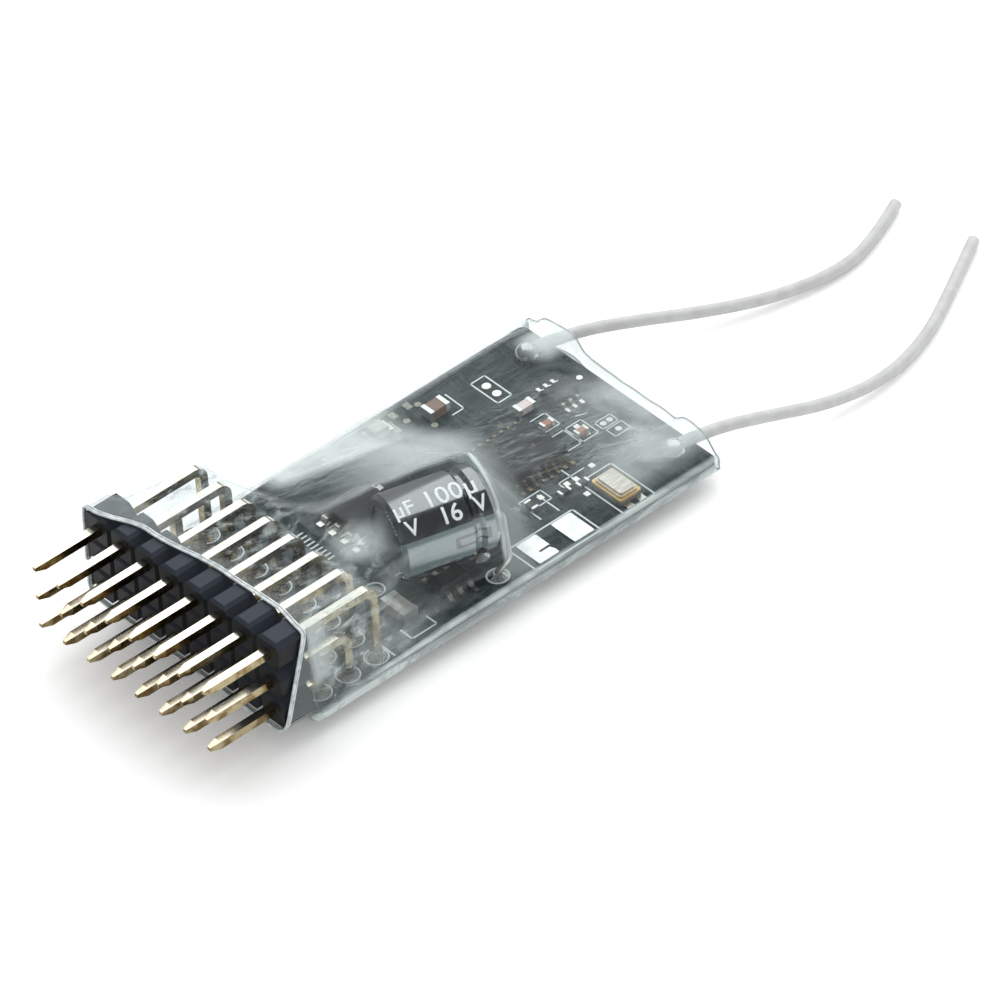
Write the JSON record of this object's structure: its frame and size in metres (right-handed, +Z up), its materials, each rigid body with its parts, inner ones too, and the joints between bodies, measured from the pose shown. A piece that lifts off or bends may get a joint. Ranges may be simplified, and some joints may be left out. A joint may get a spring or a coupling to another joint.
{
  "type": "rc receiver",
  "caption": "Radio control receiver: circuit board with a right-angle pin header, a capacitor and small parts in a clear shrink sleeve, with two short antenna wires.",
  "frame": {"origin": "middle of the sleeve's footprint, on the surface it lies on", "axes": "+X across the pin columns to the right seen from the pin tips, +Y from the pins towards the antennas, +Z up from the board"},
  "size_m": [0.0216, 0.0747, 0.0102],
  "materials": {
    "header_plastic": "moulded black nylon, satin",
    "pin_gold": "gold flash over brass",
    "solder": "bright solder",
    "board_mask": "dark solder mask with white legend",
    "can_metal": "drawn aluminium",
    "jacket_film": "printed shrink jacket",
    "bung_rubber": "moulded rubber bung",
    "tinned_wire": "tinned wire",
    "ceramic": "fired ceramic with tinned ends",
    "gold_lid": "plated lid",
    "chip_plastic": "moulded epoxy",
    "chip_leads": "tinned lead frame",
    "antenna_jacket": "grey insulated wire",
    "clear_film": "clear heat-shrink film"
  },
  "bodies": {
    "root": {"amplifier_chip": "chip_plastic", "amplifier_chip_leads": "chip_leads", "antenna_left": "antenna_jacket", "antenna_right": "antenna_jacket", "antenna_solder_left": "solder", "antenna_solder_right": "solder", "capacitor_bung": "bung_rubber", "capacitor_can": "can_metal", "capacitor_jacket": "jacket_film", "capacitor_lead_left": "tinned_wire", "capacitor_lead_right": "tinned_wire", "capacitor_solder": "solder", "chip_capacitor_left": "ceramic", "chip_capacitor_small_1": "ceramic", "chip_capacitor_small_2": "ceramic", "chip_capacitor_supply": "ceramic", "chip_resistor_1": "ceramic", "chip_resistor_2": "ceramic", "chip_resistor_3": "ceramic", "circuit_board": "board_mask", "control_chip": "chip_plastic", "control_chip_leads": "chip_leads", "crystal_base": "ceramic", "crystal_lid": "gold_lid", "header_body": "header_plastic", "header_solder": "solder", "indicator_lamp": "ceramic", "jumper_pads": "solder", "pin_lower_1": "pin_gold", "pin_lower_2": "pin_gold", "pin_lower_3": "pin_gold", "pin_lower_4": "pin_gold", "pin_lower_5": "pin_gold", "pin_lower_6": "pin_gold", "pin_lower_7": "pin_gold", "pin_lower_8": "pin_gold", "pin_middle_1": "pin_gold", "pin_middle_2": "pin_gold", "pin_middle_3": "pin_gold", "pin_middle_4": "pin_gold", "pin_middle_5": "pin_gold", "pin_middle_6": "pin_gold", "pin_middle_7": "pin_gold", "pin_middle_8": "pin_gold", "pin_upper_1": "pin_gold", "pin_upper_2": "pin_gold", "pin_upper_3": "pin_gold", "pin_upper_4": "pin_gold", "pin_upper_5": "pin_gold", "pin_upper_6": "pin_gold", "pin_upper_7": "pin_gold", "pin_upper_8": "pin_gold", "pink_chip_part": "ceramic", "radio_chip": "chip_plastic", "radio_chip_leads": "chip_leads", "regulator": "chip_plastic", "regulator_leads": "chip_leads", "shrink_sleeve": "clear_film"}
  },
  "joints": []
}
